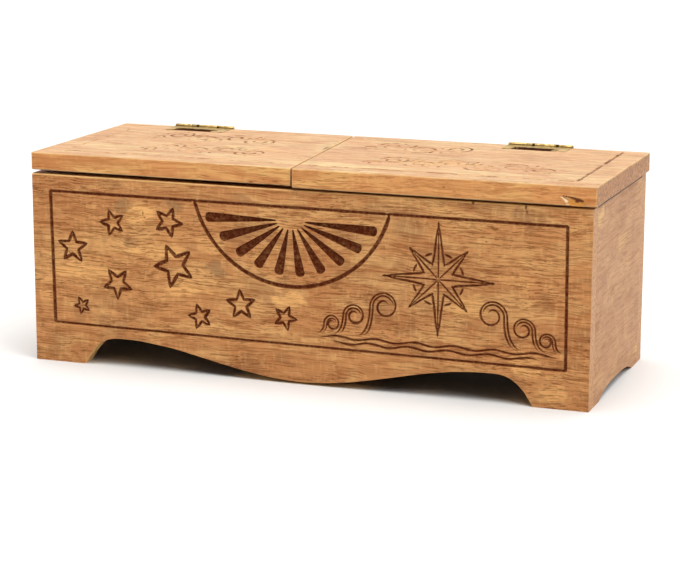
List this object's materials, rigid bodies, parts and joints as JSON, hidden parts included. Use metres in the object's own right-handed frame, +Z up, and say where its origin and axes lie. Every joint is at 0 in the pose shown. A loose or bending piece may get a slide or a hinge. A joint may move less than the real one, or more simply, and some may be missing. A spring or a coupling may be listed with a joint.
{
  "type": "wooden keepsake chest",
  "caption": "Long low wooden chest on shaped feet, divided inside, with side by side lids that each swing up and over the back on a brass butt hinge.",
  "frame": {"origin": "on the surface under the feet, under the middle of the whole outline", "axes": "+X to the right along the chest, +Y to the hinges at the back, +Z up"},
  "size_m": [0.3322, 0.1277, 0.1237],
  "materials": {
    "case_wood": "waxed, hand carved",
    "end_wood": "waxed",
    "inner_wood": "bare, sanded",
    "lid_wood": "waxed, lightly carved",
    "brass": "polished, aged",
    "screw_brass": "polished, aged",
    "brad_steel": "dull, filled heads"
  },
  "bodies": {
    "case": {"front_panel": "case_wood", "back_panel": "case_wood", "left_end_panel": "end_wood", "right_end_panel": "end_wood", "bottom_board": "inner_wood", "centre_divider": "inner_wood", "left_hinge_body_leaf": "brass", "left_hinge_pin": "brass", "left_body_screws": "screw_brass", "right_hinge_body_leaf": "brass", "right_hinge_pin": "brass", "right_body_screws": "screw_brass", "front_brads": "brad_steel", "back_brads": "brad_steel"},
    "left_lid": {"left_lid_front_plank": "lid_wood", "left_lid_rear_plank": "lid_wood", "left_hinge_lid_leaf": "brass", "left_lid_screws": "screw_brass"},
    "right_lid": {"right_lid_front_plank": "lid_wood", "right_lid_rear_plank": "lid_wood", "right_hinge_lid_leaf": "brass", "right_lid_screws": "screw_brass"}
  },
  "joints": [
    {"name": "left_lid_hinge", "type": "hinge", "parent": "case", "child": "left_lid", "pos_m": [-0.1124, 0.06255, 0.1224], "axis": [-1, 0, 0], "range_deg": [0, 250]},
    {"name": "right_lid_hinge", "type": "hinge", "parent": "case", "child": "right_lid", "pos_m": [0.1013, 0.06255, 0.1224], "axis": [-1, 0, 0], "range_deg": [0, 250]}
  ]
}
